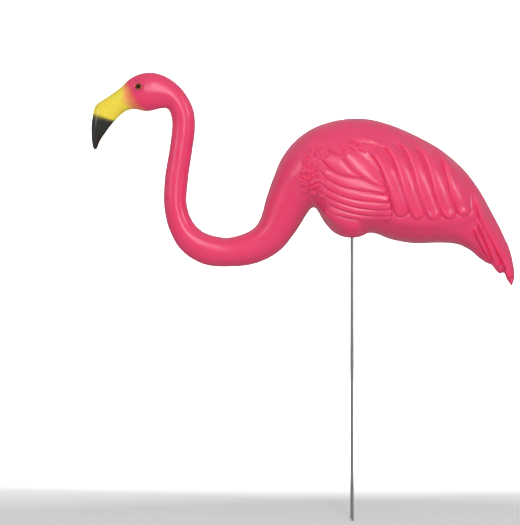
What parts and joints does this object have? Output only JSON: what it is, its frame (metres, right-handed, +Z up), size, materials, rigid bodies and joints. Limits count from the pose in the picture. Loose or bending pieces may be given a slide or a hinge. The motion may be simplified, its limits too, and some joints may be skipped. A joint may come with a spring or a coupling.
{
  "type": "flamingo lawn ornament",
  "caption": "Pink moulded flamingo garden ornament with a yellow and black bill and ridged wing feathers, standing on slim steel rods pushed into the ground.",
  "frame": {"origin": "on the ground, midway between the cut ends of the two rods, directly below where the rods enter the bird", "axes": "+Z up; the bird faces -X with its tail towards +X; its left side faces -Y and its right side +Y"},
  "size_m": [0.6088, 0.1429, 0.6436],
  "materials": {
    "pink_plastic": "satin moulded plastic, bill sprayed yellow with a black tip",
    "eye_plastic": "glossy dark brown",
    "rod_steel": "plain drawn steel rod"
  },
  "bodies": {
    "root": {"bird": "pink_plastic", "eye_left": "eye_plastic", "eye_right": "eye_plastic", "leg_left": "rod_steel", "leg_right": "rod_steel"}
  },
  "joints": []
}
